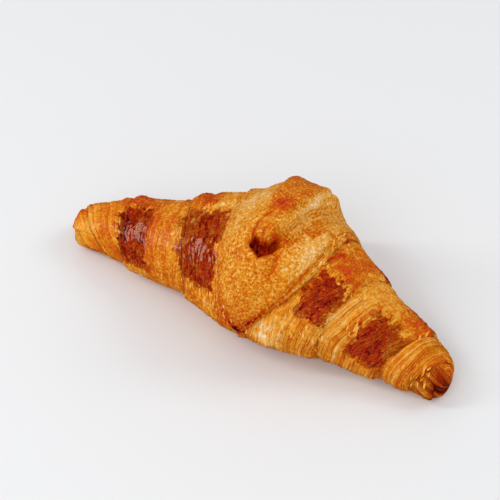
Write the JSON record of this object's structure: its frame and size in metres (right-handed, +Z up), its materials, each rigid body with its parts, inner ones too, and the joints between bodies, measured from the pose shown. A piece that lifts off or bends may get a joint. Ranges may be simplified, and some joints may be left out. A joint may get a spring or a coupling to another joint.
{
  "type": "croissant",
  "caption": "Baked butter croissant: a straight spindle roll with two tapering horns, wound layers with raised ledges, glazed bands and a flat base.",
  "frame": {"origin": "on the surface it lies on, under the centre of the croissant's bounding box", "axes": "+X along the roll towards the thinner-layered split horn, +Z up, -Y towards the side where the last wrap ends in its tongue"},
  "size_m": [0.156, 0.0632, 0.0524],
  "materials": {
    "crust": "baked crust, golden to dark brown, glossy where it was egg-washed"
  },
  "bodies": {
    "root": {"croissant": "crust"}
  },
  "joints": []
}
